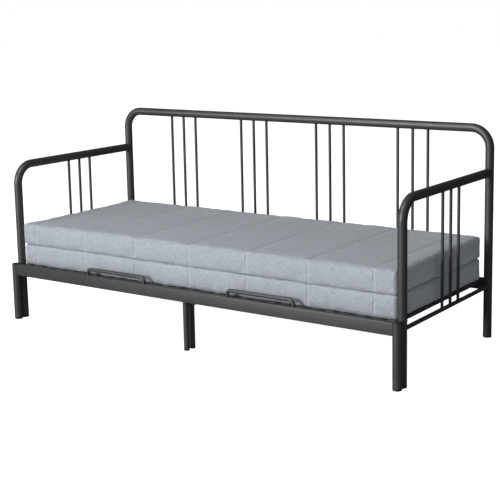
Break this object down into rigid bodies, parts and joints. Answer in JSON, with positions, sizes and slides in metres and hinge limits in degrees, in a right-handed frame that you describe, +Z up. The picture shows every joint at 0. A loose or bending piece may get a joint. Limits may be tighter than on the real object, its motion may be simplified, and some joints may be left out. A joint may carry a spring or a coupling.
{
  "type": "daybed",
  "caption": "Metal daybed with tubular back and arms, a slatted under-frame that slides out to double the bed, and stacked mattresses.",
  "frame": {"origin": "on the floor, under the middle of the footprint, with the under-frame pushed in", "axes": "+X along the length to the right as seen from the front, +Y towards the back, +Z up"},
  "size_m": [2.07, 0.88, 0.94],
  "materials": {
    "frame_paint": "satin powder coat, near black",
    "foot_plastic": "moulded black plastic",
    "mattress_cover": "heathered blue-grey woven cover with stitched seams"
  },
  "bodies": {
    "frame": {"back_frame_tube": "frame_paint", "rear_beam": "frame_paint", "back_spindle_01": "frame_paint", "back_spindle_02": "frame_paint", "back_spindle_03": "frame_paint", "back_spindle_04": "frame_paint", "back_spindle_05": "frame_paint", "back_spindle_06": "frame_paint", "back_spindle_07": "frame_paint", "back_spindle_08": "frame_paint", "back_spindle_09": "frame_paint", "back_spindle_10": "frame_paint", "back_spindle_11": "frame_paint", "back_spindle_12": "frame_paint", "left_arm_tube": "frame_paint", "left_side_rail": "frame_paint", "left_arm_spindle_1": "frame_paint", "left_arm_spindle_2": "frame_paint", "left_arm_spindle_3": "frame_paint", "right_arm_tube": "frame_paint", "right_side_rail": "frame_paint", "right_arm_spindle_1": "frame_paint", "right_arm_spindle_2": "frame_paint", "right_arm_spindle_3": "frame_paint", "front_beam": "frame_paint", "middle_leg_plate": "frame_paint", "middle_leg": "frame_paint", "fixed_slat_1": "frame_paint", "fixed_slat_2": "frame_paint", "fixed_slat_3": "frame_paint", "fixed_slat_4": "frame_paint", "fixed_slat_5": "frame_paint", "fixed_slat_6": "frame_paint", "fixed_slat_7": "frame_paint", "fixed_slat_8": "frame_paint", "middle_foot": "foot_plastic", "back_left_foot": "foot_plastic", "back_right_foot": "foot_plastic", "arm_left_foot": "foot_plastic", "arm_right_foot": "foot_plastic"},
    "under_frame": {"sliding_rail": "frame_paint", "sliding_left_leg": "frame_paint", "sliding_right_leg": "frame_paint", "sliding_middle_leg": "frame_paint", "left_mattress_hoop": "frame_paint", "right_mattress_hoop": "frame_paint", "sliding_rear_bar": "frame_paint", "sliding_slat_1": "frame_paint", "sliding_slat_2": "frame_paint", "sliding_slat_3": "frame_paint", "sliding_slat_4": "frame_paint", "sliding_slat_5": "frame_paint", "sliding_slat_6": "frame_paint", "sliding_slat_7": "frame_paint", "sliding_slat_8": "frame_paint", "sliding_left_foot": "foot_plastic", "sliding_right_foot": "foot_plastic", "sliding_middle_foot": "foot_plastic"},
    "lower_mattress": {"lower_mattress": "mattress_cover"},
    "upper_mattress": {"upper_mattress": "mattress_cover"}
  },
  "joints": [
    {"name": "under_frame_slide", "type": "slide", "parent": "frame", "child": "under_frame", "axis": [0, -1, 0], "range_m": [0, 0.75]},
    {"name": "lower_mattress_lift", "type": "slide", "parent": "frame", "child": "lower_mattress", "axis": [0, 0, 1], "range_m": [0, 0.3]},
    {"name": "upper_mattress_slide", "type": "slide", "parent": "lower_mattress", "child": "upper_mattress", "axis": [0, -1, 0], "range_m": [0, 0.36]}
  ]
}
